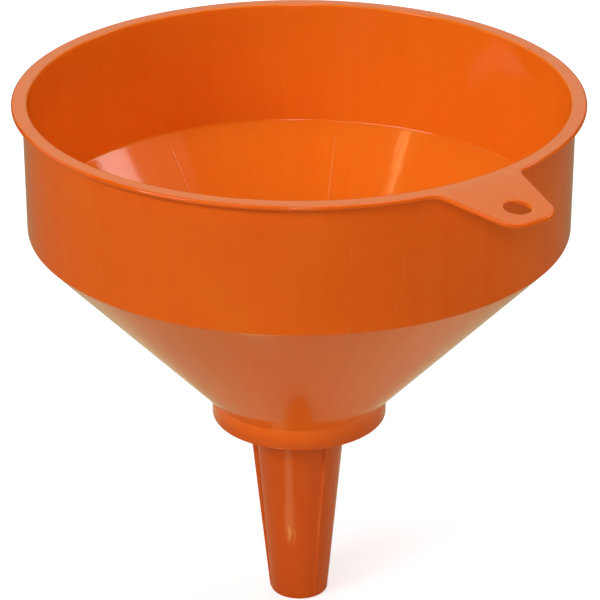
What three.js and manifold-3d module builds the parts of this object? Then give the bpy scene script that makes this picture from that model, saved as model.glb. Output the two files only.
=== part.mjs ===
// A plastic funnel with a lift-out strainer. Millimetres, +Z up.
//
// The origin is on the funnel's axis, in the plane of the collar's underside: that face sits on the neck of
// the container being filled. The hanging tab points along +X.

import * as THREE from "three";
import { mergeVertices } from "three/addons/utils/BufferGeometryUtils.js";
import Module from "manifold-3d";

const wasm = await Module();
wasm.setup();

// ---------------------------------------------------------------- driving dimensions

const RIM = { outerRadius: 117.5, innerRadius: 110.9, thickness: 1.8 };
const BOWL = { depth: 55.4, topRadius: 113.1, kneeRadius: 112.95, innerKneeRadius: 110.8, kneeFillet: 1.2 };
const CONE = { height: 81.5, footRadius: 36.8, wall: 1.9 };
const COLLAR = { radius: 37.3, height: 8.8, edge: 1.2, floor: 2, recessRadius: 35.3 };
const SPOUT = { length: 86.7, topRadius: 20.15, tipRadius: 12.4, topBore: 18.4, tipBore: 10.9 };

// Air escapes from the container along the outside of the spout, between these ribs.
const VENT_RIB = { count: 3, width: 2.4, topHeight: 1.7, tipHeight: 0.4 };

// The tab is flush with the rim at its root and droops slightly towards its end.
const TAB = {
  length: 33.5,
  rootHalfWidth: 20,
  sideSlope: 0.255,
  endCornerRadius: 9.5,
  rootFillet: 6.5,
  droop: THREE.MathUtils.degToRad(5.9),
  holeRadius: 5.3,
  holeOffset: 21.6,
};

const STRAINER = { radius: 34.9, height: 5, wall: 1.6, clearance: 0.3 };
const SPIDER = { spokes: 4, width: 1.8, thickness: 1.6, ledge: 2.3, hubRadius: 4.5 };
const GRIP = { stemRadius: 2.4, beadRadius: 4.2, beadHeight: 4, height: 15 };
const GAUZE = { thickness: 0.6 };
const CLAMP_RING = { width: 1.7, height: 1.6 };

const EDGE = 0.6; // rounding of an ordinary moulded edge

const COLLAR_STEP = COLLAR.radius - CONE.footRadius;
const RIM_TOP = COLLAR.height + CONE.height + BOWL.depth;
const KNEE_Z = COLLAR.height + CONE.height;
const TURN_SEGMENTS = 72; // facets around the funnel
const SMALL_SEGMENTS = 36; // facets around the strainer's pieces
const ARC_STEP = THREE.MathUtils.degToRad(30); // turn of one facet on a rounded edge

// ---------------------------------------------------------------- solids and booleans

function toSolid(geometry) {
  const bare = geometry.clone();
  bare.deleteAttribute("normal");
  bare.deleteAttribute("uv");
  const welded = mergeVertices(bare);
  const mesh = new wasm.Mesh({
    numProp: 3,
    vertProperties: welded.attributes.position.array,
    triVerts: Uint32Array.from(welded.index.array),
  });
  return new wasm.Manifold(mesh);
}

function toGeometry(solid) {
  const { vertProperties, triVerts } = solid.getMesh();
  const geometry = new THREE.BufferGeometry();
  geometry.setAttribute("position", new THREE.BufferAttribute(vertProperties, 3));
  geometry.setIndex(new THREE.BufferAttribute(triVerts, 1));
  geometry.computeVertexNormals();
  return geometry;
}

function joined(solids) {
  return solids.reduce((whole, next) => whole.add(next));
}

// The points of an outline whose corners are [x, y, radius], each rounded by an arc of its radius.
function roundedOutline(corners) {
  const at = (i) => new THREE.Vector2(...corners.at(i % corners.length));
  const points = [];
  corners.forEach(([, , radius = 0], i) => {
    const corner = at(i);
    if (radius === 0) {
      points.push(corner);
      return;
    }
    const back = at(i - 1).sub(corner).normalize();
    const ahead = at(i + 1).sub(corner).normalize();
    const half = Math.acos(back.dot(ahead)) / 2;
    const turn = Math.PI - 2 * half;
    const steps = Math.ceil(turn / ARC_STEP);
    const direction = Math.sign(ahead.cross(back));
    const start = corner.clone().addScaledVector(back, radius / Math.tan(half));
    const middle = back.clone().add(ahead).normalize();
    const centre = corner.clone().addScaledVector(middle, radius / Math.sin(half));
    for (let step = 0; step <= steps; step += 1) {
      points.push(start.clone().rotateAround(centre, (direction * turn * step) / steps));
    }
  });
  return points;
}

// Turns an outline of [radius, height] corners about the Z axis. A ring's outline closes on itself; any
// other starts and ends on the axis.
function turned(corners, segments, isRing) {
  const outline = roundedOutline(corners);
  if (isRing) {
    outline.push(outline[0].clone());
  }
  return toSolid(new THREE.LatheGeometry(outline, segments).rotateX(Math.PI / 2));
}

// ---------------------------------------------------------------- funnel body

// The inner face of the cone's wall, as a height for each radius. It runs parallel to the outer face.
function innerConeHeight(radius) {
  const spread = (BOWL.kneeRadius - CONE.footRadius) / CONE.height;
  const wallAcross = CONE.wall * Math.hypot(1, spread);
  return COLLAR.height + (radius + wallAcross - CONE.footRadius) / spread;
}

function shell() {
  const underRim = RIM_TOP - RIM.thickness;
  const outside = [
    [SPOUT.tipRadius, -SPOUT.length, EDGE],
    [SPOUT.topRadius, 0, EDGE],
    [COLLAR.radius, 0, COLLAR.edge],
    [COLLAR.radius, COLLAR.height, COLLAR_STEP * 0.8],
    [CONE.footRadius, COLLAR.height],
    [BOWL.kneeRadius, KNEE_Z, BOWL.kneeFillet],
    [BOWL.topRadius, underRim, EDGE],
    [RIM.outerRadius, underRim, EDGE],
    [RIM.outerRadius, RIM_TOP, EDGE],
  ];
  const inside = [
    [RIM.innerRadius, RIM_TOP, EDGE],
    [BOWL.innerKneeRadius, innerConeHeight(BOWL.innerKneeRadius), BOWL.kneeFillet],
    [COLLAR.recessRadius, innerConeHeight(COLLAR.recessRadius)],
    [COLLAR.recessRadius, COLLAR.floor],
    [SPOUT.topBore, COLLAR.floor, EDGE],
    [SPOUT.tipBore, -SPOUT.length],
  ];
  return turned([...outside, ...inside], TURN_SEGMENTS, true);
}

function ventRib(angle) {
  const topMidWall = (SPOUT.topRadius + SPOUT.topBore) / 2;
  const tipMidWall = (SPOUT.tipRadius + SPOUT.tipBore) / 2;
  const intoFloor = COLLAR.floor / 2;
  const outline = new THREE.Shape([
    new THREE.Vector2(topMidWall, intoFloor),
    new THREE.Vector2(tipMidWall, -SPOUT.length),
    new THREE.Vector2(SPOUT.tipRadius + VENT_RIB.tipHeight, -SPOUT.length),
    new THREE.Vector2(SPOUT.topRadius + VENT_RIB.topHeight, 0),
    new THREE.Vector2(SPOUT.topRadius + VENT_RIB.topHeight, intoFloor),
  ]);
  const rib = new THREE.ExtrudeGeometry(outline, { depth: VENT_RIB.width, bevelEnabled: false });
  rib.translate(0, 0, -VENT_RIB.width / 2);
  rib.rotateX(Math.PI / 2);
  rib.rotateZ(angle);
  return toSolid(rib);
}

function ventRibs() {
  const ribs = [];
  for (let i = 0; i < VENT_RIB.count; i += 1) {
    ribs.push(ventRib((2 * Math.PI * i) / VENT_RIB.count));
  }
  return ribs;
}

// The centre of the fillet between the rim's circle and the tab's side: as far from the side's line as the
// fillet's radius, and that much outside the rim.
function rootFilletCentre() {
  const along = new THREE.Vector2(1, -TAB.sideSlope).normalize();
  const outward = new THREE.Vector2(-along.y, along.x);
  const onOffsetLine = new THREE.Vector2(RIM.outerRadius, TAB.rootHalfWidth);
  onOffsetLine.addScaledVector(outward, TAB.rootFillet);
  const reach = RIM.outerRadius + TAB.rootFillet;
  const nearest = onOffsetLine.dot(along);
  const offAxis = onOffsetLine.dot(outward);
  const slide = Math.sqrt(reach ** 2 - offAxis ** 2) - nearest;
  return onOffsetLine.addScaledVector(along, slide);
}

// The tab seen from above. Its inner edge is an arc inside the rim's own material.
function tabPlan() {
  const buriedRadius = (BOWL.topRadius + RIM.outerRadius) / 2;
  const fillet = rootFilletCentre();
  const rootAngle = fillet.angle();
  const sideAngle = Math.atan(TAB.sideSlope);
  const endX = RIM.outerRadius + TAB.length;
  const endHalfWidth = TAB.rootHalfWidth - TAB.sideSlope * TAB.length;
  const cornerInset = TAB.endCornerRadius * Math.tan(Math.PI / 4 - sideAngle / 2);
  const cornerX = endX - TAB.endCornerRadius;
  const cornerY = endHalfWidth - cornerInset;
  const quarter = Math.PI / 2;

  const plan = new THREE.Shape();
  plan.absarc(0, 0, buriedRadius, rootAngle, -rootAngle, true);
  plan.absarc(fillet.x, -fillet.y, TAB.rootFillet, Math.PI - rootAngle, quarter + sideAngle, true);
  plan.absarc(cornerX, -cornerY, TAB.endCornerRadius, sideAngle - quarter, 0, false);
  plan.absarc(cornerX, cornerY, TAB.endCornerRadius, 0, quarter - sideAngle, false);
  plan.absarc(fillet.x, fillet.y, TAB.rootFillet, -quarter - sideAngle, rootAngle - Math.PI, true);
  plan.closePath();

  const hole = new THREE.Path();
  hole.absarc(RIM.outerRadius + TAB.holeOffset, 0, TAB.holeRadius, 0, 2 * Math.PI, true);
  plan.holes.push(hole);
  return plan;
}

// The tab seen from its side: level at the rim, then drooping.
function tabSide() {
  const startX = RIM.outerRadius / 2;
  const endX = RIM.outerRadius + 2 * TAB.length;
  const drop = (endX - RIM.outerRadius) * Math.tan(TAB.droop);
  const bottom = -RIM.thickness;
  return new THREE.Shape([
    new THREE.Vector2(startX, bottom),
    new THREE.Vector2(RIM.outerRadius, bottom),
    new THREE.Vector2(endX, bottom - drop),
    new THREE.Vector2(endX, -drop),
    new THREE.Vector2(RIM.outerRadius, 0),
    new THREE.Vector2(startX, 0),
  ]);
}

function tab() {
  const tall = 4 * TAB.length;
  const plan = new THREE.ExtrudeGeometry(tabPlan(), { depth: tall, curveSegments: 8, bevelEnabled: false });
  plan.translate(0, 0, RIM_TOP - tall / 2);
  const side = new THREE.ExtrudeGeometry(tabSide(), { depth: tall, bevelEnabled: false });
  side.translate(0, 0, -tall / 2);
  side.rotateX(Math.PI / 2);
  side.translate(0, 0, RIM_TOP);
  return toSolid(plan).intersect(toSolid(side));
}

function funnelBody() {
  return joined([shell(), ...ventRibs(), tab()]);
}

// ---------------------------------------------------------------- strainer

const FRAME_INNER_RADIUS = STRAINER.radius - STRAINER.wall;
const SPIDER_TOP = COLLAR.floor + SPIDER.thickness;
const GAUZE_TOP = SPIDER_TOP + GAUZE.thickness;

function strainerFrame() {
  const bottom = COLLAR.floor;
  const ledgeRadius = FRAME_INNER_RADIUS - SPIDER.ledge;
  const ring = turned(
    [
      [ledgeRadius, bottom],
      [STRAINER.radius, bottom],
      [STRAINER.radius, bottom + STRAINER.height, EDGE],
      [FRAME_INNER_RADIUS, bottom + STRAINER.height, EDGE],
      [FRAME_INNER_RADIUS, SPIDER_TOP],
      [ledgeRadius, SPIDER_TOP],
    ],
    SMALL_SEGMENTS,
    true,
  );
  const gripTop = bottom + GRIP.height;
  const hubAndGrip = turned(
    [
      [0, bottom],
      [SPIDER.hubRadius, bottom],
      [SPIDER.hubRadius, SPIDER_TOP],
      [GRIP.stemRadius, SPIDER_TOP],
      [GRIP.stemRadius, gripTop - GRIP.beadHeight, EDGE],
      [GRIP.beadRadius, gripTop - GRIP.beadHeight, EDGE],
      [GRIP.beadRadius, gripTop, EDGE],
      [0, gripTop],
    ],
    SMALL_SEGMENTS / 2,
    false,
  );
  const spokes = [];
  const reach = ledgeRadius + SPIDER.ledge / 2;
  for (let i = 0; i < SPIDER.spokes; i += 1) {
    const spoke = new THREE.BoxGeometry(reach, SPIDER.width, SPIDER.thickness);
    spoke.translate(reach / 2, 0, bottom + SPIDER.thickness / 2);
    spoke.rotateZ((2 * Math.PI * (i + 0.5)) / SPIDER.spokes);
    spokes.push(toSolid(spoke));
  }
  return joined([ring, hubAndGrip, ...spokes]);
}

// The woven disc, as a plain washer of its outer thickness that lies on the ledge and the spokes.
function strainerGauze() {
  const holeRadius = GRIP.stemRadius + STRAINER.clearance;
  const edgeRadius = FRAME_INNER_RADIUS - STRAINER.clearance;
  return turned(
    [
      [holeRadius, SPIDER_TOP],
      [edgeRadius, SPIDER_TOP],
      [edgeRadius, GAUZE_TOP],
      [holeRadius, GAUZE_TOP],
    ],
    SMALL_SEGMENTS,
    true,
  );
}

function strainerClampRing() {
  const outerRadius = FRAME_INNER_RADIUS - STRAINER.clearance;
  const innerRadius = outerRadius - CLAMP_RING.width;
  const top = GAUZE_TOP + CLAMP_RING.height;
  return turned(
    [
      [innerRadius, GAUZE_TOP],
      [outerRadius, GAUZE_TOP],
      [outerRadius, top, EDGE / 2],
      [innerRadius, top, EDGE / 2],
    ],
    SMALL_SEGMENTS,
    true,
  );
}

// ---------------------------------------------------------------- assembly

const orangePolyethylene = { color: 0xdb5a18, roughness: 0.35, metalness: 0 };
const brassWire = { color: 0xc8a35a, roughness: 0.35, metalness: 1 };

function piece(name, solid, look) {
  const mesh = new THREE.Mesh(toGeometry(solid), new THREE.MeshStandardMaterial(look));
  mesh.name = name;
  return mesh;
}

const strainer = new THREE.Group();
strainer.add(
  piece("strainer_frame", strainerFrame(), orangePolyethylene),
  piece("strainer_gauze", strainerGauze(), brassWire),
  piece("strainer_clamp_ring", strainerClampRing(), orangePolyethylene),
);

const funnel = new THREE.Group();
funnel.add(piece("funnel_body", funnelBody(), orangePolyethylene), strainer);

export default funnel;
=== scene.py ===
"""A plastic funnel with a lift-out strainer: fine meshes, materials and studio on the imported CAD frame.

Metres, +Z up. The Z axis is the funnel's axis, z = 0 is the collar's underside and the tab points along +X.
"""

import math

import bmesh
import bpy
import numpy as np
from mathutils import Matrix, Vector


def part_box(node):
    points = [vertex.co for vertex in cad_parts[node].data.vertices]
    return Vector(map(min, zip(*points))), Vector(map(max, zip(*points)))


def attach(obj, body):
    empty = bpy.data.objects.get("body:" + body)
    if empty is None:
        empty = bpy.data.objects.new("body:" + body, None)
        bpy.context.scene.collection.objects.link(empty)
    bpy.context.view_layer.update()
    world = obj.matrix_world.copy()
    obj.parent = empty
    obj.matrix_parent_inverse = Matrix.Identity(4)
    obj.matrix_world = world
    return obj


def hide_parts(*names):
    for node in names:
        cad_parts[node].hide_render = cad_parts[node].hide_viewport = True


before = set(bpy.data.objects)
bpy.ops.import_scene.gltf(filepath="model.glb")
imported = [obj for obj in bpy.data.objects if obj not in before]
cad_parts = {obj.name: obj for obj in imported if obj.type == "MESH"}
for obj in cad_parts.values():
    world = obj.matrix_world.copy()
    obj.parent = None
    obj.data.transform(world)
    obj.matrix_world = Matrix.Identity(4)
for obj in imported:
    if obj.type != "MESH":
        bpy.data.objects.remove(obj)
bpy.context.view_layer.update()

MM = 0.001
TOLERANCE = MM / 1000  # points closer than this are one

# ---------------------------------------------------------------- sizes

FUNNEL_LOW, FUNNEL_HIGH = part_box("funnel_body")
TIP_Z = FUNNEL_LOW.z
RIM_TOP = FUNNEL_HIGH.z
RIM_RADIUS = -FUNNEL_LOW.x
TAB_END = FUNNEL_HIGH.x

RIM_THICKNESS = 1.8 * MM
RIM_INNER_RADIUS = 110.9 * MM
RIM_EDGE = 1.0 * MM  # rounding of the flange's upper outer edge and its inner edge
BOWL_DEPTH = 55.4 * MM
BOWL_TOP_RADIUS = 113.1 * MM
KNEE_RADIUS = 112.95 * MM
KNEE_INNER_RADIUS = 110.8 * MM
KNEE_FILLET = 1.2 * MM
INNER_KNEE_FILLET = 1.6 * MM
CONE_FOOT_RADIUS = 36.8 * MM
CONE_WALL = 1.9 * MM
COLLAR_RADIUS = 37.3 * MM
COLLAR_HEIGHT = 8.8 * MM
COLLAR_EDGE = 1.2 * MM
COLLAR_FLOOR = 2 * MM
RECESS_RADIUS = 35.3 * MM
SPOUT_TOP_RADIUS = 20.15 * MM
SPOUT_TIP_RADIUS = 12.4 * MM
SPOUT_TOP_BORE = 18.4 * MM
SPOUT_TIP_BORE = 10.9 * MM
MOULDED_EDGE = 0.5 * MM
TIP_INNER_EDGE = 0.3 * MM
SPOUT_MOUTH_EDGE = 1 * MM
UNDER_RIM_FILLET = 1 * MM
CONE_SPREAD = (KNEE_RADIUS - CONE_FOOT_RADIUS) / (RIM_TOP - BOWL_DEPTH - COLLAR_HEIGHT)

RIB_COUNT = 3
RIB_TOP_HEIGHT = 1.7 * MM
RIB_TIP_HEIGHT = 0.4 * MM
RIB_CREST = 0.85 * MM  # half the width of the full height
RIB_FOOT = 1.6 * MM  # half the width with the fillets at the root
RIB_FADE = 1.5 * MM  # the length over which it dies away at the tip
RIB_ZONE = 2.1 * MM  # half the width of the columns that follow a rib down the spout
RIB_REMAP = math.radians(20)  # beyond this angle from a rib the columns run straight down
RIB_CLEARANCE = 1.1  # the other columns stay this many zone half-widths from a rib's middle
RIB_RUNOUT = 4 * RIB_TOP_HEIGHT  # the distance along the collar's underside over which it dies away
SPOUT_START = MM / 10  # points lower than this are on the spout or on the collar's underside

TAB_ROOT_HALF_WIDTH = 20 * MM
TAB_SIDE_SLOPE = 0.255  # how fast each side comes in towards the end
TAB_CORNER_RADIUS = 9.5 * MM
TAB_ROOT_FILLET = 6.5 * MM
TAB_DROOP = math.radians(5.9)
TAB_FOLD_WIDTH = 2 * MM
TAB_HOLE_RADIUS = 5.3 * MM
TAB_HOLE_OFFSET = 21.6 * MM  # outside the rim
HOLE_SIDES = 64

RIM_COLUMNS = 256
TAB_COLUMNS = 72  # on each side of the tab's middle
FLANK_COLUMNS = 7  # on each side of a rib
ARC_STEPS = 4
FLANGE_STEPS = 14  # across the flange, above and below
EDGE_SAMPLES = 2000  # for measuring along the tab's edge

# ---------------------------------------------------------------- mesh helpers


def new_object(name, mesh):
    thing = bpy.data.objects.new(name, mesh)
    bpy.context.scene.collection.objects.link(thing)
    return thing


def eased(count):
    """count fractions from just above 0 up to 1, closer together at both ends."""
    steps = np.arange(1, count + 1) / count
    return (1 - np.cos(np.pi * steps)) / 2


def smooth_step(share):
    share = np.clip(share, 0, 1)
    return share * share * (3 - 2 * share)


def rounded(corners, start=None, end=None):
    """A chain of (radius, height) points through corners given as (radius, height, rounding, steps to it).

    start and end are the neighbours of the first and last corner, where those are rounded too."""
    places = [np.array(c[:2], float) for c in corners]
    before = [np.array(start if start is not None else places[0], float)] + places[:-1]
    after = places[1:] + [np.array(end if end is not None else places[-1], float)]
    chain = []
    for (_, _, radius, steps), corner, last, following in zip(corners, places, before, after):
        arc = [corner]
        if radius > 0:
            arc = corner_arc(corner, last, following, radius)
        if chain:
            run_start = chain[-1]
            chain += [run_start + (arc[0] - run_start) * t for t in eased(steps)[:-1]]
        chain += arc
    return chain


def corner_arc(corner, last, following, radius):
    """Points on the arc of that radius which rounds a corner between its two neighbours."""
    back = (last - corner) / np.linalg.norm(last - corner)
    ahead = (following - corner) / np.linalg.norm(following - corner)
    half = math.acos(float(np.clip(back @ ahead, -1, 1))) / 2
    middle = (back + ahead) / np.linalg.norm(back + ahead)
    centre = corner + middle * radius / math.sin(half)
    spoke = corner + back * radius / math.tan(half) - centre
    turn = math.pi - 2 * half
    if ahead[0] * back[1] - ahead[1] * back[0] < 0:
        turn = -turn
    points = []
    for step in range(ARC_STEPS + 1):
        angle = turn * step / ARC_STEPS
        cos, sin = math.cos(angle), math.sin(angle)
        points.append(centre + [cos * spoke[0] - sin * spoke[1], sin * spoke[0] + cos * spoke[1]])
    return points


def grid_faces(rows, columns):
    """Quads over a grid of vertices that closes on itself both ways, rows being the points of one section."""
    faces = []
    for column in range(columns):
        here = column * rows
        there = (column + 1) % columns * rows
        for row in range(rows):
            above = (row + 1) % rows
            faces.append((here + row, there + row, there + above, here + above))
    return faces


def turned_ring(name, outline, columns, ripple=None):
    """A ring whose closed outline of (radius, height) points goes anticlockwise, turned about the Z axis."""
    outline = np.array(outline)
    points = []
    for angle in np.arange(columns) * 2 * math.pi / columns:
        radii = outline[:, 0].copy()
        if ripple:
            radii += ripple(angle, outline)
        points.append(np.column_stack([radii * math.cos(angle), radii * math.sin(angle), outline[:, 1]]))
    mesh = bpy.data.meshes.new(name)
    mesh.from_pydata(np.vstack(points).tolist(), [], grid_faces(len(outline), columns))
    return new_object(name, mesh)


def turned_solid(name, outline, columns, ripple=None):
    """Like turned_ring, for an outline that starts and ends on the axis: each end is one vertex."""
    thing = turned_ring(name, outline, columns, ripple)
    edit = bmesh.new()
    edit.from_mesh(thing.data)
    bmesh.ops.remove_doubles(edit, verts=edit.verts, dist=TOLERANCE)
    bmesh.ops.dissolve_degenerate(edit, edges=edit.edges, dist=TOLERANCE)
    axis_edges = [e for e in edit.edges if all(math.hypot(*v.co.xy) < TOLERANCE for v in e.verts)]
    bmesh.ops.delete(edit, geom=axis_edges, context="EDGES")
    edit.to_mesh(thing.data)
    edit.free()
    return thing


def combine(target, tools, operation):
    """Cuts the tools from the target, or joins them to it, and removes them."""
    for tool in tools:
        step = target.modifiers.new("combine", "BOOLEAN")
        step.operation = operation
        step.solver = "EXACT"
        step.object = tool
    target.data = bpy.data.meshes.new_from_object(target.evaluated_get(bpy.context.evaluated_depsgraph_get()))
    target.modifiers.clear()
    edit = bmesh.new()
    edit.from_mesh(target.data)
    bmesh.ops.remove_doubles(edit, verts=edit.verts, dist=TOLERANCE)
    edit.to_mesh(target.data)
    edit.free()
    for tool in tools:
        bpy.data.objects.remove(tool)


def smooth(thing, sharp_degrees=32):
    thing.data.shade_smooth()
    thing.data.set_sharp_from_angle(angle=math.radians(sharp_degrees))


# ---------------------------------------------------------------- funnel body


def cone_inside_height(radius):
    """The height of the cone's inner face at a radius. It runs parallel to the outer face."""
    return COLLAR_HEIGHT + (radius + CONE_WALL * math.hypot(1, CONE_SPREAD) - CONE_FOOT_RADIUS) / CONE_SPREAD


def tab_outline_geometry():
    """The outward normal of the tab's side, its distance from the axis, and its two arcs' centres."""
    along = np.array([1, -TAB_SIDE_SLOPE]) / math.hypot(1, TAB_SIDE_SLOPE)
    outward = np.array([-along[1], along[0]])
    side_point = np.array([RIM_RADIUS, TAB_ROOT_HALF_WIDTH])
    on_offset = side_point + outward * TAB_ROOT_FILLET
    centre_reach = RIM_RADIUS + TAB_ROOT_FILLET
    slide = math.sqrt(centre_reach**2 - (on_offset @ outward) ** 2) - on_offset @ along
    fillet_centre = on_offset + along * slide
    end_half_width = TAB_ROOT_HALF_WIDTH - TAB_SIDE_SLOPE * (TAB_END - RIM_RADIUS)
    inset = TAB_CORNER_RADIUS * math.tan(math.pi / 4 - math.atan(TAB_SIDE_SLOPE) / 2)
    corner_centre = np.array([TAB_END - TAB_CORNER_RADIUS, end_half_width - inset])
    return outward, side_point @ outward, fillet_centre, corner_centre


def polar_angle(point):
    return math.atan2(point[1], point[0])


SIDE_NORMAL, SIDE_DISTANCE, ROOT_CENTRE, CORNER_CENTRE = tab_outline_geometry()
ROOT_ANGLE = polar_angle(ROOT_CENTRE)


def reach(angle, inset=0.0):
    """How far the flange and tab reach from the axis at an angle, with their outline moved in by inset."""
    angle = abs((angle + math.pi) % (2 * math.pi) - math.pi)
    ray = np.array([math.cos(angle), math.sin(angle)])
    fillet = TAB_ROOT_FILLET + inset
    corner = TAB_CORNER_RADIUS - inset
    if angle >= ROOT_ANGLE:
        return RIM_RADIUS - inset
    if angle >= polar_angle(ROOT_CENTRE - SIDE_NORMAL * fillet):
        along = ray @ ROOT_CENTRE
        return along - math.sqrt(max(0.0, along**2 - ROOT_CENTRE @ ROOT_CENTRE + fillet**2))
    if angle >= polar_angle(CORNER_CENTRE + SIDE_NORMAL * corner):
        return (SIDE_DISTANCE - inset) / (ray @ SIDE_NORMAL)
    if angle >= polar_angle(CORNER_CENTRE + [corner, 0]):
        along = ray @ CORNER_CENTRE
        return along + math.sqrt(along**2 - CORNER_CENTRE @ CORNER_CENTRE + corner**2)
    return (TAB_END - inset) / ray[0]


def droop(x):
    """How far the tab has sunk at a distance x along its axis. It bends smoothly at the rim."""
    past = x - RIM_RADIUS
    return math.tan(TAB_DROOP) * (np.sqrt(past**2 + TAB_FOLD_WIDTH**2) + past) / 2


def beside_rib(angle):
    """The nearest vent rib's angle and the angle's offset from it."""
    step = 2 * math.pi / RIB_COUNT
    rib = round(angle / step) * step
    return rib, angle - rib


def rib_columns():
    """Angles across the vent ribs, apart from the one below the tab, whose columns are close enough."""
    flank = np.linspace(RIB_CREST, RIB_FOOT, FLANK_COLUMNS)
    half = np.concatenate([[RIB_CREST / 2], flank, [RIB_ZONE]])
    across = np.concatenate([-half[::-1], [0], half])
    ribs = np.arange(1, RIB_COUNT) * 2 * math.pi / RIB_COUNT
    return np.concatenate([rib + np.arcsin(across / SPOUT_TOP_RADIUS) for rib in ribs])


def column_angles():
    """The angles of the funnel's columns of points, closer along the tab's edge and across the ribs."""
    fine = np.linspace(0, ROOT_ANGLE, EDGE_SAMPLES)
    radii = np.array([reach(a) for a in fine])
    edge = np.column_stack([radii * np.cos(fine), radii * np.sin(fine)])
    run = np.concatenate([[0], np.cumsum(np.linalg.norm(np.diff(edge, axis=0), axis=1))])
    tab = np.interp(np.linspace(0, run[-1], TAB_COLUMNS + 1), run, fine)
    zone = math.asin(RIB_ZONE / SPOUT_TOP_RADIUS)
    rest = np.linspace(ROOT_ANGLE, 2 * math.pi - ROOT_ANGLE, RIM_COLUMNS + 1)[1:-1]
    rest = [a for a in rest if abs(beside_rib(a)[1]) > zone * RIB_CLEARANCE]
    return np.concatenate([-tab[:0:-1], tab, np.sort([*rest, *rib_columns()])])


def on_spout(angle, radii):
    """A column's angle at each radius down the spout. Beside a rib it keeps its distance from the rib."""
    rib, offset = beside_rib(angle)
    narrow = math.asin(RIB_ZONE / SPOUT_TOP_RADIUS)
    wide = np.arcsin(RIB_ZONE / radii)
    moved = np.full_like(radii, abs(offset))
    if abs(offset) <= narrow:
        moved = np.arcsin(SPOUT_TOP_RADIUS * math.sin(abs(offset)) / radii)
    elif abs(offset) < RIB_REMAP:
        moved = wide + (abs(offset) - narrow) * (RIB_REMAP - wide) / (RIB_REMAP - narrow)
    return rib + math.copysign(1, offset) * moved


def rib_relief(angle, heights):
    """How far the ribs stand out from the spout on a column, at each height."""
    across = SPOUT_TOP_RADIUS * math.sin(abs(beside_rib(angle)[1]))
    rise = smooth_step((RIB_FOOT - across) / (RIB_FOOT - RIB_CREST))
    full = RIB_TIP_HEIGHT + (RIB_TOP_HEIGHT - RIB_TIP_HEIGHT) * (heights - TIP_Z) / -TIP_Z
    return full * rise * smooth_step((heights - TIP_Z) / RIB_FADE)


def with_ribs(angle, section):
    """The angles and radii of a column's points, given its (radius, height) section, with the ribs on it."""
    radii, heights = section[:, 0].copy(), section[:, 1]
    angles = np.full(len(section), angle)
    spout_radius = SPOUT_TIP_RADIUS + (SPOUT_TOP_RADIUS - SPOUT_TIP_RADIUS) * (heights - TIP_Z) / -TIP_Z
    spout = (heights < SPOUT_START) & (radii > spout_radius - MOULDED_EDGE)
    near = np.clip(1 - (radii - spout_radius) / RIB_RUNOUT, 0, 1)
    angles[spout] = on_spout(angle, np.minimum(radii[spout], SPOUT_TOP_RADIUS))
    radii[spout] += (rib_relief(angle, heights) * near)[spout]
    return angles, radii


def outside_chain():
    """From the spout's tip up the outside to the fillet under the flange."""
    knee_z = RIM_TOP - BOWL_DEPTH
    under_rim = RIM_TOP - RIM_THICKNESS
    collar_top = COLLAR_HEIGHT + (COLLAR_RADIUS - CONE_FOOT_RADIUS) / CONE_SPREAD
    corners = [
        (SPOUT_TIP_RADIUS, TIP_Z, MOULDED_EDGE, 0),
        (SPOUT_TOP_RADIUS, 0, COLLAR_EDGE, 20),
        (COLLAR_RADIUS, 0, COLLAR_EDGE, 8),
        (COLLAR_RADIUS, collar_top, COLLAR_EDGE, 6),
        (KNEE_RADIUS, knee_z, KNEE_FILLET, 24),
        (BOWL_TOP_RADIUS, under_rim, UNDER_RIM_FILLET, 14),
    ]
    return rounded(corners, start=(SPOUT_TIP_BORE, TIP_Z), end=(RIM_RADIUS, under_rim))


def inside_chain():
    """From the flange's inner edge down the inside to the spout's tip."""
    corners = [
        (RIM_INNER_RADIUS, RIM_TOP, RIM_EDGE, 0),
        (KNEE_INNER_RADIUS, cone_inside_height(KNEE_INNER_RADIUS), INNER_KNEE_FILLET, 14),
        (RECESS_RADIUS, cone_inside_height(RECESS_RADIUS), MOULDED_EDGE, 24),
        (RECESS_RADIUS, COLLAR_FLOOR, MOULDED_EDGE, 5),
        (SPOUT_TOP_BORE, COLLAR_FLOOR, SPOUT_MOUTH_EDGE, 8),
        (SPOUT_TIP_BORE, TIP_Z, TIP_INNER_EDGE, 16),
    ]
    return rounded(corners, start=(RIM_RADIUS, RIM_TOP), end=(SPOUT_TIP_RADIUS, TIP_Z))


def flange_chain(angle, inner_start, inner_end):
    """Round the flange's edge at an angle, between the fillet under it and its inner edge."""
    under = RIM_TOP - RIM_THICKNESS
    lower_edge = MOULDED_EDGE
    outer_end = reach(angle, lower_edge)
    chain = [(r, under) for r in inner_start + (outer_end - inner_start) * eased(FLANGE_STEPS)[:-1]]
    for step in range(ARC_STEPS + 1):
        turn = math.pi / 2 * step / ARC_STEPS
        inset = lower_edge * (1 - math.sin(turn))
        chain.append((reach(angle, inset), under + lower_edge * (1 - math.cos(turn))))
    for step in range(ARC_STEPS + 1):
        turn = math.pi / 2 * step / ARC_STEPS
        inset = RIM_EDGE * (1 - math.cos(turn))
        chain.append((reach(angle, inset), RIM_TOP - RIM_EDGE * (1 - math.sin(turn))))
    edge = reach(angle, RIM_EDGE)
    chain += [(r, RIM_TOP) for r in edge + (inner_end - edge) * eased(FLANGE_STEPS)[:-1]]
    return chain


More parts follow.
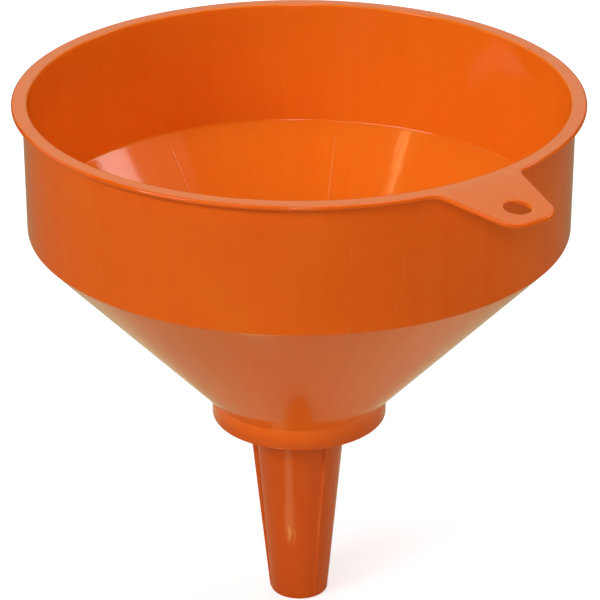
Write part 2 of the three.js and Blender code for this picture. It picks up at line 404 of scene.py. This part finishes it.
def funnel_shell():
    """The bowl, cone, collar, spout, flange and tab as one mesh of columns around the axis."""
    outside, inside = outside_chain(), inside_chain()
    angles = column_angles()
    points = []
    for angle in angles:
        flange = flange_chain(angle, outside[-1][0], inside[0][0])
        section = np.array([*outside, *flange, *inside])
        turned, radii = with_ribs(angle, section)
        x = radii * np.cos(turned)
        y = radii * np.sin(turned)
        height = section[:, 1].copy()
        sinks = section[:, 0] > BOWL_TOP_RADIUS
        height[sinks] -= droop(x[sinks])
        points.append(np.column_stack([x, y, height]))
    mesh = bpy.data.meshes.new("funnel")
    mesh.from_pydata(np.vstack(points).tolist(), [], grid_faces(len(points[0]), len(angles)))
    return new_object("funnel", mesh)


def hole_cutter():
    """A pin through the tab, flared where it meets both faces so that the hole's edges come out rounded."""
    flare = MOULDED_EDGE
    middle = RIM_THICKNESS / 2
    last_turn = math.radians(75)
    half = [(TAB_HOLE_RADIUS, 0)]
    for turn in np.linspace(0, last_turn, ARC_STEPS + 1):
        widened = TAB_HOLE_RADIUS + flare * (1 - math.cos(turn))
        half.append((widened, middle - flare * (1 - math.sin(turn))))
    arc_end_radius, arc_end_height = half[-1]
    half.append((arc_end_radius + 2 * flare * math.sin(last_turn), arc_end_height + flare))
    lower = [(r, -z) for r, z in reversed(half[1:])]
    widest, flare_top = half[-1]
    tall = flare_top + MM
    outline = [(0, -tall), (widest, -tall), *lower, *half, (widest, tall), (0, tall)]
    cutter = turned_solid("hole", outline, HOLE_SIDES)
    hole_x = RIM_RADIUS + TAB_HOLE_OFFSET
    centre = Vector((hole_x, 0, RIM_TOP - middle - float(droop(hole_x))))
    cutter.data.transform(Matrix.Translation(centre) @ Matrix.Rotation(TAB_DROOP, 4, "Y"))
    return cutter


def funnel_body():
    body = funnel_shell()
    combine(body, [hole_cutter()], "DIFFERENCE")
    smooth(body)
    return body


# ---------------------------------------------------------------- strainer

FRAME_RADIUS = 34.9 * MM
FRAME_INNER_RADIUS = 33.3 * MM
FRAME_HEIGHT = 5 * MM
LEDGE_RADIUS = 31 * MM
SPIDER_TOP = COLLAR_FLOOR + 1.6 * MM
SPOKES = 4
SPOKE_WIDTH = 1.8 * MM
HUB_RADIUS = 4.5 * MM
GRIP_STEM_RADIUS = 2.4 * MM
GRIP_BEAD_RADIUS = 4.2 * MM
GRIP_BEAD_HEIGHT = 4 * MM
GRIP_TOP = COLLAR_FLOOR + 15 * MM
GRIP_FLUTES = 14
GRIP_FLUTE_DEPTH = 0.12 * MM
GRIP_COLUMNS = 8 * GRIP_FLUTES
RING_COLUMNS = 180

GAUZE_HOLE_RADIUS = 2.7 * MM
GAUZE_RADIUS = 33 * MM
GAUZE_PITCH = 1.5 * MM
WIRE_RADIUS = 0.15 * MM
WIRE_SIDES = 6
WIRE_STEPS = 3  # to each crossing
GAUZE_TOP = SPIDER_TOP + 4 * WIRE_RADIUS

CLAMP_INNER_RADIUS = 31.3 * MM
CLAMP_HEIGHT = 1.6 * MM


def closed_outline(corners):
    return rounded(corners, start=corners[-1][:2], end=corners[0][:2])


def frame_ring():
    top = COLLAR_FLOOR + FRAME_HEIGHT
    corners = [
        (LEDGE_RADIUS, COLLAR_FLOOR, 0.2 * MM, 0),
        (FRAME_RADIUS, COLLAR_FLOOR, 0.3 * MM, 3),
        (FRAME_RADIUS, top, 0.6 * MM, 4),
        (FRAME_INNER_RADIUS, top, 0.5 * MM, 2),
        (FRAME_INNER_RADIUS, SPIDER_TOP, 0.2 * MM, 4),
        (LEDGE_RADIUS, SPIDER_TOP, 0.3 * MM, 3),
    ]
    return turned_ring("strainer_frame", closed_outline(corners), RING_COLUMNS)


def grip_flutes(angle, outline):
    """The change of radius that flutes the bead: fullest at its middle, nothing on the stem."""
    middle = GRIP_TOP - GRIP_BEAD_HEIGHT / 2
    off_middle = np.abs(outline[:, 1] - middle) / (GRIP_BEAD_HEIGHT / 2)
    on_bead = np.clip(1 - off_middle**4, 0, 1) * (outline[:, 0] > 1.2 * GRIP_STEM_RADIUS)
    return -GRIP_FLUTE_DEPTH * on_bead * (1 - math.cos(GRIP_FLUTES * angle)) / 2


def hub_and_grip():
    bead_foot = GRIP_TOP - GRIP_BEAD_HEIGHT
    corners = [
        (0, COLLAR_FLOOR, 0, 0),
        (HUB_RADIUS, COLLAR_FLOOR, 0.3 * MM, 3),
        (HUB_RADIUS, SPIDER_TOP, 0.3 * MM, 2),
        (GRIP_STEM_RADIUS, SPIDER_TOP, 0.25 * MM, 3),
        (GRIP_STEM_RADIUS, bead_foot, 0.5 * MM, 8),
        (GRIP_BEAD_RADIUS, bead_foot, 0.9 * MM, 2),
        (GRIP_BEAD_RADIUS, GRIP_TOP, 1.3 * MM, 6),
        (0, GRIP_TOP, 0, 5),
    ]
    return turned_solid("grip", rounded(corners), GRIP_COLUMNS, grip_flutes)


def spoke(angle):
    """A bar with rounded edges from the hub to the ledge."""
    half_width = SPOKE_WIDTH / 2
    half_height = (SPIDER_TOP - COLLAR_FLOOR) / 2
    section = closed_outline(
        [
            (-half_width, -half_height, 0.2 * MM, 0),
            (half_width, -half_height, 0.2 * MM, 2),
            (half_width, half_height, 0.45 * MM, 2),
            (-half_width, half_height, 0.45 * MM, 2),
        ]
    )
    ends = (HUB_RADIUS / 2, (LEDGE_RADIUS + FRAME_INNER_RADIUS) / 2)
    middle = COLLAR_FLOOR + half_height
    points = [(x, y, middle + z) for x in ends for y, z in section]
    count = len(section)
    sides = [(i, (i + 1) % count, (i + 1) % count + count, i + count) for i in range(count)]
    caps = [tuple(reversed(range(count))), tuple(range(count, 2 * count))]
    mesh = bpy.data.meshes.new("spoke")
    mesh.from_pydata(points, [], sides + caps)
    mesh.transform(Matrix.Rotation(angle, 4, "Z"))
    return new_object("spoke", mesh)


def strainer_frame():
    ring = frame_ring()
    spokes = [spoke(2 * math.pi * (i + 0.5) / SPOKES) for i in range(SPOKES)]
    combine(ring, [hub_and_grip(), *spokes], "UNION")
    smooth(ring)
    return ring


def strainer_clamp_ring():
    top = GAUZE_TOP + CLAMP_HEIGHT
    corners = [
        (CLAMP_INNER_RADIUS, GAUZE_TOP, 0.2 * MM, 0),
        (GAUZE_RADIUS, GAUZE_TOP, 0.2 * MM, 3),
        (GAUZE_RADIUS, top, 0.3 * MM, 3),
        (CLAMP_INNER_RADIUS, top, 0.45 * MM, 3),
    ]
    ring = turned_ring("strainer_clamp_ring", closed_outline(corners), RING_COLUMNS)
    smooth(ring)
    return ring


def wire_spans(offset):
    """Where a wire at that distance from the middle starts and ends. The grip's hole cuts some in two."""
    reach_out = math.sqrt((GAUZE_RADIUS - WIRE_RADIUS) ** 2 - offset**2)
    hole = GAUZE_HOLE_RADIUS + WIRE_RADIUS
    if abs(offset) >= hole:
        return [(-reach_out, reach_out)]
    edge = math.sqrt(hole**2 - offset**2)
    return [(-reach_out, -edge), (edge, reach_out)]


def woven_wire(offset, start, end, over_first):
    """The points and faces of one wire along X, which passes over and under the wires that cross it."""
    steps = max(2, round((end - start) / GAUZE_PITCH * WIRE_STEPS))
    along = np.linspace(start, end, steps + 1)
    sign = 1 if over_first else -1
    height = SPIDER_TOP + 2 * WIRE_RADIUS + sign * WIRE_RADIUS * np.cos(math.pi * along / GAUZE_PITCH)
    turn = np.arange(WIRE_SIDES) * 2 * math.pi / WIRE_SIDES
    y = offset + WIRE_RADIUS * np.cos(turn)
    z = WIRE_RADIUS * np.sin(turn)
    points = [(x, a, h + b) for x, h in zip(along, height) for a, b in zip(y, z)]
    faces = [tuple(reversed(range(WIRE_SIDES))), tuple(range(steps * WIRE_SIDES, (steps + 1) * WIRE_SIDES))]
    for step in range(steps):
        for side in range(WIRE_SIDES):
            here = step * WIRE_SIDES + side
            beside = step * WIRE_SIDES + (side + 1) % WIRE_SIDES
            faces.append((here, beside, beside + WIRE_SIDES, here + WIRE_SIDES))
    return points, faces


def strainer_gauze():
    """A plain weave: every wire is a bent rod, and the two sets cross at right angles."""
    points, faces = [], []
    wires = int((GAUZE_RADIUS - WIRE_RADIUS) / GAUZE_PITCH)
    for turned_over in (False, True):
        for i in range(-wires, wires + 1):
            for start, end in wire_spans(i * GAUZE_PITCH):
                over_first = (i % 2 == 0) != turned_over
                rod, rod_faces = woven_wire(i * GAUZE_PITCH, start, end, over_first)
                if turned_over:
                    rod = [(-y, x, z) for x, y, z in rod]
                first = len(points)
                points += rod
                faces += [tuple(first + v for v in face) for face in rod_faces]
    mesh = bpy.data.meshes.new("strainer_gauze")
    mesh.from_pydata(points, [], faces)
    gauze = new_object("strainer_gauze", mesh)
    smooth(gauze, sharp_degrees=60)
    return gauze


# ---------------------------------------------------------------- shader nodes


def connect(tree, value, socket):
    """Links another node's output to the socket, or sets a plain value on it."""
    if isinstance(value, bpy.types.NodeSocket):
        tree.links.new(value, socket)
    else:
        socket.default_value = value


def add(tree, kind, **inputs):
    """Adds a node with these inputs and returns its first output."""
    made = tree.nodes.new(kind)
    for key, value in inputs.items():
        connect(tree, value, made.inputs[key.replace("_", " ")])
    return made.outputs[0]


def reckon(tree, operation, *terms):
    """A Math node's result."""
    made = tree.nodes.new("ShaderNodeMath")
    made.operation = operation
    for value, socket in zip(terms, made.inputs):
        connect(tree, value, socket)
    return made.outputs[0]


def product(tree, first, *others):
    total = first
    for factor in others:
        total = reckon(tree, "MULTIPLY", total, factor)
    return total


def weighted_sum(tree, *terms):
    """The sum of (value, weight) terms."""
    total = 0.0
    for value, weight in terms:
        total = reckon(tree, "MULTIPLY_ADD", value, weight, total)
    return total


def between(tree, share, first, second):
    """first where the share is 0 and second where it is 1."""
    return reckon(tree, "MULTIPLY_ADD", share, reckon(tree, "SUBTRACT", second, first), first)


def span(tree, value, zero_at, one_at):
    """0 at zero_at and before it, 1 at one_at and beyond it, smooth between. Either may be the larger."""
    made = tree.nodes.new("ShaderNodeMapRange")
    made.interpolation_type = "SMOOTHSTEP"
    connect(tree, value, made.inputs["Value"])
    made.inputs["From Min"].default_value = min(zero_at, one_at)
    made.inputs["From Max"].default_value = max(zero_at, one_at)
    made.inputs["To Min"].default_value = float(zero_at > one_at)
    made.inputs["To Max"].default_value = float(zero_at < one_at)
    return made.outputs[0]


def vector_math(tree, operation, *vectors):
    """A Vector Math node."""
    made = tree.nodes.new("ShaderNodeVectorMath")
    made.operation = operation
    for value, socket in zip(vectors, made.inputs):
        connect(tree, value, socket)
    return made


def scaled(tree, vector, factors):
    return vector_math(tree, "MULTIPLY", vector, factors).outputs["Vector"]


def dot(tree, first, second):
    return vector_math(tree, "DOT_PRODUCT", first, second).outputs["Value"]


def length(tree, vector):
    return vector_math(tree, "LENGTH", vector).outputs["Value"]


def component(tree, vector, axis):
    """A vector's X, Y or Z component."""
    return add(tree, "ShaderNodeSeparateXYZ", Vector=vector).node.outputs[axis]


def object_place(tree):
    return tree.nodes.new("ShaderNodeTexCoord").outputs["Object"]


def surface(tree, output):
    """An output of the Geometry node."""
    return tree.nodes.new("ShaderNodeNewGeometry").outputs[output]


def from_axis(tree, place):
    """The level direction from the funnel's axis to a place."""
    return vector_math(tree, "NORMALIZE", scaled(tree, place, (1, 1, 0))).outputs["Vector"]


def noise(tree, place, feature, detail, roughness=0.55):
    """Noise whose features are that size, about 0.5 on average."""
    scale = 1 / feature
    return add(tree, "ShaderNodeTexNoise", Vector=place, Scale=scale, Detail=detail, Roughness=roughness)


def down_the_wall(tree, place, around, along):
    """Noise in streaks down the wall: about six times as many as around, each 1 / along metres long."""
    stands = scaled(tree, from_axis(tree, place), (around, around, 0))
    runs = scaled(tree, place, (0, 0, along))
    stretched = vector_math(tree, "ADD", stands, runs).outputs["Vector"]
    return noise(tree, stretched, feature=1.0, detail=3.0, roughness=0.6)


def blend(tree, factor, first, second):
    """The first colour where the factor is 0 and the second where it is 1."""
    made = tree.nodes.new("ShaderNodeMix")
    made.data_type = "RGBA"
    factor_socket, first_socket, second_socket = made.inputs[0], made.inputs[6], made.inputs[7]
    connect(tree, factor, factor_socket)
    connect(tree, first, first_socket)
    connect(tree, second, second_socket)
    return made.outputs[2]


def blank_material(name):
    """A new material, its node tree and its shader."""
    material = bpy.data.materials.new(name)
    material.use_nodes = True
    tree = material.node_tree
    return material, tree, tree.nodes["Principled BSDF"]


# ---------------------------------------------------------------- materials

# The tone runs between DEEP_ORANGE and WARM_ORANGE at random, and towards WARM_ORANGE on faces towards the
# axis as painted light.
DEEP_ORANGE = (0.84, 0.094, 0.002, 1)
WARM_ORANGE = (0.97, 0.245, 0.014, 1)
SPOUT_ORANGE = (0.58, 0.071, 0.003, 1)
# Paler orange for worn edges, scuffs, weld lines and nicks, and as painted light on the rim's level top.
WORN_AND_LIT_ORANGE = (0.80, 0.300, 0.070, 1)
BRASS = (0.62, 0.42, 0.14, 1)
TARNISHED_BRASS = (0.36, 0.23, 0.08, 1)

SPECULAR_LEVEL = 0.3
SCATTER_WEIGHT = 0.12
SCATTER_RADIUS = (1, 0.25, 0.05)
SCATTER_DEPTH = 2 * MM

CLOUD_SIZE = 45 * MM
PATCH_SIZE = 9 * MM
SKIN_WAVE = 4 * MM
SKIN_GRAIN = 0.8 * MM

# Each pair is for span(): none of it at the first value, all of it at the second.
TOWARDS_AXIS = (0.3, -0.3)
FACING_UP = (0.80, 0.95)
NEAR_RIM = (RIM_TOP - 5 * MM, RIM_TOP - 3 * MM)
NEAR_TIP = (-20 * MM, TIP_Z)
DARKER_SPOUT = (10 * MM, -2 * MM)
RUBBED_SHARPNESS = (0.52, 0.60)
RUBBED_PATCHES = (0.35, 0.65)
SCUFF_LINES = (0.60, 0.70)
SCUFF_PATCHES = (0.45, 0.62)
SCUFFS_ELSEWHERE = 0.3  # beside 1 at the rim and the tip

WELD_LINES = (135.0, 176.6)  # degrees from the tab
WELD_HALF_WIDTH = 0.7 * MM
WELD_FADE = 10 * MM

NICK_PLACE = (9.8 * MM, -11.7 * MM, -52 * MM)
NICK_REACH = (3.0 * MM, 0.8 * MM)
NICK_SQUASH = (1, 1, 0.4)  # makes the nicked patch tall
NICK_SIZE = 1.6 * MM
NICK_STRETCH = (1, 1, 0.15)  # makes the nicks run down the spout
NICK_GRAIN = (0.46, 0.62)

TARNISH_SIZE = 7 * MM
TARNISH_PATCHES = (0.35, 0.7)
SPOT_SIZE = 0.6 * MM
DRAWN_LINE_WIDTH = 0.12 * MM
DRAWN_LINE_DEPTH = 0.01 * MM
BRASS_ROUGHNESS = 0.24


def rubbed_edges(tree, patches):
    """1 on the edges that stand out and have been rubbed, in patches."""
    sharp = span(tree, surface(tree, "Pointiness"), *RUBBED_SHARPNESS)
    return product(tree, sharp, span(tree, patches, *RUBBED_PATCHES))


def weld_line(tree, place, height, degrees):
    """1 along a line down the cone where two fronts of the melt met, at that angle from the tab."""
    angle = math.radians(degrees)
    knee = RIM_TOP - BOWL_DEPTH
    across = dot(tree, place, (-math.sin(angle), math.cos(angle), 0))
    outward = dot(tree, place, (math.cos(angle), math.sin(angle), 0))
    line = span(tree, reckon(tree, "ABSOLUTE", across), WELD_HALF_WIDTH, 0)
    on_this_side = span(tree, outward, 0, WELD_FADE)
    below_knee = span(tree, height, knee, knee - WELD_FADE)
    return product(tree, line, on_this_side, below_knee)


def faces_axis(tree, place):
    """1 on faces that look towards the funnel's axis, 0 on those that look away from it; it carries the
    painted light on the bowl's inside.
    """
    facing = dot(tree, surface(tree, "Normal"), from_axis(tree, place))
    return span(tree, facing, *TOWARDS_AXIS)


def faces_up(tree):
    """1 on faces that are nearly level and look up, where the rim's top gets its painted light."""
    return span(tree, component(tree, surface(tree, "Normal"), "Z"), *FACING_UP)


def nicks(tree, place):
    """1 on a few pale nicks in one place on the spout."""
    away = vector_math(tree, "SUBTRACT", place, NICK_PLACE).outputs["Vector"]
    close = span(tree, length(tree, scaled(tree, away, NICK_SQUASH)), *NICK_REACH)
    grain = noise(tree, scaled(tree, place, NICK_STRETCH), NICK_SIZE, detail=1.0)
    return product(tree, close, span(tree, grain, *NICK_GRAIN))


def scuff_lines(tree, height, fine_streaks, patches):
    """1 on the fine scuffs, which lie in patches and mostly where the funnel is handled: its rim and tip."""
    lines = product(tree, span(tree, fine_streaks, *SCUFF_LINES), span(tree, patches, *SCUFF_PATCHES))
    handled = reckon(tree, "MAXIMUM", span(tree, height, *NEAR_TIP), SCUFFS_ELSEWHERE)
    handled = reckon(tree, "MAXIMUM", span(tree, height, *NEAR_RIM), handled)
    return product(tree, lines, handled)


def polyethylene(name, roughness, streakiness, worn_and_lit_share):
    """Moulded orange polyethylene: cloudy colour, flow streaks down the wall, a wavy skin and fine scuffs.

    It is painted lighter and yellower where it faces the axis, as painted light for the brightly lit inside
    of the bowl, paler on the rim's level top as painted light, and darker on the spout."""
    material, tree, shader = blank_material(name)
    place = object_place(tree)
    height = component(tree, place, "Z")
    clouds = noise(tree, place, CLOUD_SIZE, detail=3.0)
    patches = noise(tree, place, PATCH_SIZE, detail=3.0)
    waves = noise(tree, place, SKIN_WAVE, detail=1.0)
    grain = noise(tree, place, SKIN_GRAIN, detail=2.0)
    streaks = down_the_wall(tree, place, around=16.0, along=3.0)
    fine_streaks = down_the_wall(tree, place, around=42.0, along=14.0)

    weld = reckon(tree, "MAXIMUM", *[weld_line(tree, place, height, degrees) for degrees in WELD_LINES])
    scuffs = scuff_lines(tree, height, fine_streaks, patches)
    nicked = nicks(tree, place)
    rubbed = rubbed_edges(tree, patches)
    # Painted light: the rim's level top is painted paler and yellower for the light that falls on it from
    # above.
    lit_rim_top = product(tree, faces_up(tree), span(tree, height, *NEAR_RIM))

    # Painted light: the share that faces the axis makes the bowl's inside lighter and yellower, for the
    # brighter light in it. The clouds and streaks are the plastic's own uneven tone.
    tone_and_inside_light = weighted_sum(tree, (clouds, 0.28), (streaks, 0.22), (faces_axis(tree, place), 0.5))
    spout_share = product(tree, span(tree, height, *DARKER_SPOUT), 0.8)
    colour = blend(tree, spout_share, blend(tree, tone_and_inside_light, DEEP_ORANGE, WARM_ORANGE), SPOUT_ORANGE)
    # Rubbed edges, scuffs, weld lines and nicks are wear and moulding marks; the rim's top is painted light.
    worn_and_lit_top = weighted_sum(tree, (rubbed, 0.7), (scuffs, 0.35), (weld, 0.30), (lit_rim_top, 0.25), (nicked, 0.5))
    colour = blend(tree, product(tree, worn_and_lit_top, worn_and_lit_share), colour, WORN_AND_LIT_ORANGE)
    connect(tree, colour, shader.inputs["Base Color"])

    even = weighted_sum(tree, (roughness - 0.08, 1.0), (clouds, 0.10), (patches, 0.06))
    rough = weighted_sum(tree, (even, 1.0), (rubbed, 0.14), (scuffs, 0.16))
    connect(tree, rough, shader.inputs["Roughness"])

    flow = weighted_sum(tree, (streaks, 0.05), (fine_streaks, 0.012))
    skin = weighted_sum(tree, (waves, 0.035), (grain, 0.003), (flow, streakiness))
    relief = weighted_sum(tree, (skin, 1.0), (scuffs, -0.02), (weld, 0.12), (nicked, -0.05))
    bump = add(tree, "ShaderNodeBump", Height=relief, Strength=1.0, Distance=MM)
    connect(tree, bump, shader.inputs["Normal"])

    shader.inputs["IOR"].default_value = 1.5
    shader.inputs["Specular IOR Level"].default_value = SPECULAR_LEVEL
    shader.inputs["Subsurface Weight"].default_value = SCATTER_WEIGHT
    shader.inputs["Subsurface Radius"].default_value = SCATTER_RADIUS
    shader.inputs["Subsurface Scale"].default_value = SCATTER_DEPTH
    return material


def brass_wire(name):
    """Drawn brass: tarnish in patches and fine lines along the wires."""
    material, tree, shader = blank_material(name)
    place = object_place(tree)
    tarnish = span(tree, noise(tree, place, TARNISH_SIZE, detail=4.0), *TARNISH_PATCHES)
    spots = noise(tree, place, SPOT_SIZE, detail=2.0)
    flattened = scaled(tree, place, (1, 1, 8))
    lines = noise(tree, flattened, DRAWN_LINE_WIDTH, detail=1.0)
    dull = weighted_sum(tree, (tarnish, 0.7), (spots, 0.3))
    bump = add(tree, "ShaderNodeBump", Height=lines, Strength=0.6, Distance=DRAWN_LINE_DEPTH)
    connect(tree, blend(tree, dull, BRASS, TARNISHED_BRASS), shader.inputs["Base Color"])
    connect(tree, weighted_sum(tree, (dull, 0.25), (BRASS_ROUGHNESS, 1.0)), shader.inputs["Roughness"])
    connect(tree, bump, shader.inputs["Normal"])
    shader.inputs["Metallic"].default_value = 1.0
    return material


# ---------------------------------------------------------------- studio

CAMERA_AZIMUTH = 53.99  # degrees; the tab then points 36 degrees to the right of the camera
CAMERA_PITCH = 25.06
CAMERA_LENS = 172.64  # mm, on a sensor 36 mm wide
SENSOR_WIDTH = 36
CAMERA_REACH = 1.102  # from the funnel's axis
CAMERA_HEIGHT = 0.5678  # above the collar's underside
CAMERA_SIDESTEP = 0.37 * MM
LIGHT_REACH = 1.6  # from the knee's centre

FLOOR_REACH = 30  # from the axis to each side
FLOOR_GAP = 0.2 * MM  # below the spout's tip
FLOOR_WHITE = 0.7  # what the camera sees of it
FLOOR_GLOW = 0.62  # close by; it rises to 1 further off
FLOOR_GLOW_RISE = (0.25, 1.6)  # the distances from the axis between which it does so
FLOOR_NEAR = 0.80  # what the funnel sees of it, close by and further off
FLOOR_FAR = 0.36
FLOOR_DIMS = (0.15, 0.45)
FLOOR_WARMTH = 0.63  # the blue that it gives the funnel, as a share of its red
ROOM_FILL = 0.03  # the strength of the white all round, as the funnel sees it

POOL_AZIMUTH = -28  # degrees to the right of the camera
POOL_RADIANCE = 1.7
POOL_WARMTH = 0.45  # its blue, as a share of its red
POOL_NEAR_END = (46 * MM, 62 * MM)  # distances from the axis: none of it at the first, all at the second
POOL_FAR_END = (140 * MM, 100 * MM)
POOL_SIDES = (24 * MM, 8 * MM)  # the same, from its middle line


def studio_direction(right_of_camera, elevation):
    """The direction from the funnel to a place that many degrees to the right of the camera's azimuth."""
    azimuth = math.radians(CAMERA_AZIMUTH + right_of_camera)
    lift = math.radians(elevation)
    return Vector((math.sin(azimuth) * math.cos(lift), -math.cos(azimuth) * math.cos(lift), math.sin(lift)))


def camera():
    data = bpy.data.cameras.new("camera")
    data.sensor_width = SENSOR_WIDTH
    data.lens = CAMERA_LENS
    thing = new_object("camera", data)
    sideways = studio_direction(90, 0) * CAMERA_SIDESTEP
    thing.location = studio_direction(0, 0) * CAMERA_REACH + sideways + Vector((0, 0, CAMERA_HEIGHT))
    thing.rotation_euler = (math.radians(90 - CAMERA_PITCH), 0, math.radians(CAMERA_AZIMUTH))
    bpy.context.scene.camera = thing


def softbox(name, right_of_camera, elevation, width, height, radiance, colour=(1, 1, 1), in_gloss=True):
    """A lamp that faces the funnel. The camera never sees it, and the funnel mirrors it only if in_gloss."""
    data = bpy.data.lights.new(name, "AREA")
    data.shape = "RECTANGLE"
    data.size = width
    data.size_y = height
    data.energy = radiance * math.pi * width * height
    data.color = colour
    thing = new_object(name, data)
    direction = studio_direction(right_of_camera, elevation)
    thing.location = Vector((0, 0, RIM_TOP - BOWL_DEPTH)) + direction * LIGHT_REACH
    thing.rotation_mode = "QUATERNION"
    thing.rotation_quaternion = direction.to_track_quat("Z", "Y")
    thing.visible_camera = False
    thing.visible_glossy = in_gloss


def seen_by_camera(tree):
    """1 for what the camera sees directly, 0 for what lights the funnel or is mirrored in it."""
    return tree.nodes.new("ShaderNodeLightPath").outputs["Is Camera Ray"]


def pool_of_light(tree):
    """1 on the patch of floor, in front of the spout and to its left, that the spout mirrors as a streak."""
    place = object_place(tree)
    run = dot(tree, place, tuple(studio_direction(POOL_AZIMUTH, 0)))
    aside = dot(tree, place, tuple(studio_direction(POOL_AZIMUTH + 90, 0)))
    beside = span(tree, reckon(tree, "ABSOLUTE", aside), *POOL_SIDES)
    return product(tree, span(tree, run, *POOL_NEAR_END), span(tree, run, *POOL_FAR_END), beside)


def tinted(tree, level, blue):
    """A colour whose red and green are at that level."""
    return add(tree, "ShaderNodeCombineXYZ", X=level, Y=level, Z=blue)


def floor():
    """A white floor that glows more with distance, up to the white beyond it. The funnel sees it dimmer."""
    mesh = bpy.data.meshes.new("floor")
    corners = [(-1, -1), (1, -1), (1, 1), (-1, 1)]
    points = [(x * FLOOR_REACH, y * FLOOR_REACH, TIP_Z - FLOOR_GAP) for x, y in corners]
    mesh.from_pydata(points, [], [(0, 1, 2, 3)])
    thing = new_object("floor", mesh)
    material, tree, shader = blank_material("floor")
    camera_ray = seen_by_camera(tree)
    away = length(tree, object_place(tree))

    fill = between(tree, span(tree, away, *FLOOR_DIMS), FLOOR_NEAR, FLOOR_FAR)
    level = between(tree, camera_ray, fill, FLOOR_WHITE)
    blue = between(tree, camera_ray, product(tree, fill, FLOOR_WARMTH), FLOOR_WHITE)
    connect(tree, tinted(tree, level, blue), shader.inputs["Base Color"])

    glow = between(tree, span(tree, away, *FLOOR_GLOW_RISE), FLOOR_GLOW, 1.0)
    pool = product(tree, pool_of_light(tree), POOL_RADIANCE)
    connect(tree, between(tree, camera_ray, pool, glow), shader.inputs["Emission Strength"])
    glow_blue = between(tree, camera_ray, POOL_WARMTH, 1.0)
    connect(tree, tinted(tree, 1.0, glow_blue), shader.inputs["Emission Color"])

    shader.inputs["Roughness"].default_value = 0.9
    shader.inputs["Specular IOR Level"].default_value = 0.0
    thing.data.materials.append(material)


def surroundings():
    """White beyond the floor for the camera, and dim for the funnel."""
    world = bpy.data.worlds.new("studio")
    bpy.context.scene.world = world
    world.use_nodes = True
    tree = world.node_tree
    background = tree.nodes["Background"]
    background.inputs["Color"].default_value = (1, 1, 1, 1)
    connect(tree, between(tree, seen_by_camera(tree), ROOM_FILL, 1.0), background.inputs["Strength"])


def lamps():
    """Soft lamps: degrees to the right of the camera, elevation, width, height and radiance."""
    softbox("front", 2, 27, 0.30, 0.30, 14.0)
    softbox("knee_glint", -30, 36, 0.72, 0.13, 14.0)
    softbox("key", -54, 27, 0.55, 0.50, 9.6)
    softbox("high_left", -72, 58, 0.05, 0.50, 10.0, colour=(1.0, 0.8, 0.3))
    softbox("left", -105, 18, 1.0, 0.50, 1.7)
    softbox("low_right", 50, 0, 1.20, 0.24, 5.9, in_gloss=False)
    softbox("low_back", 185, 0, 1.60, 0.24, 4.5, in_gloss=False)
    softbox("right", 111, 38, 0.28, 0.50, 7.0)
    softbox("right_wall", 91, 49, 0.45, 0.45, 0.5)
    softbox("top", 100, 77, 0.60, 0.95, 4.8)
    softbox("back", 180, 34, 2.00, 1.00, 0.62)


# ---------------------------------------------------------------- assembly


def place_piece(thing, node, material, body):
    """Stands the piece in its CAD node's stead, in that material, on that body."""
    thing.data.materials.append(material)
    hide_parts(node)
    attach(thing, body)


camera()
floor()
surroundings()
lamps()

shell_plastic = polyethylene("funnel_polyethylene", roughness=0.10, streakiness=1.0, worn_and_lit_share=1.0)
strainer_plastic = polyethylene("strainer_polyethylene", roughness=0.34, streakiness=0.4, worn_and_lit_share=0.6)
wire = brass_wire("brass_wire")
place_piece(funnel_body(), "funnel_body", shell_plastic, "funnel")
place_piece(strainer_frame(), "strainer_frame", strainer_plastic, "strainer")
place_piece(strainer_clamp_ring(), "strainer_clamp_ring", strainer_plastic, "strainer")
place_piece(strainer_gauze(), "strainer_gauze", wire, "strainer")

bpy.context.scene.view_settings.view_transform = "Standard"
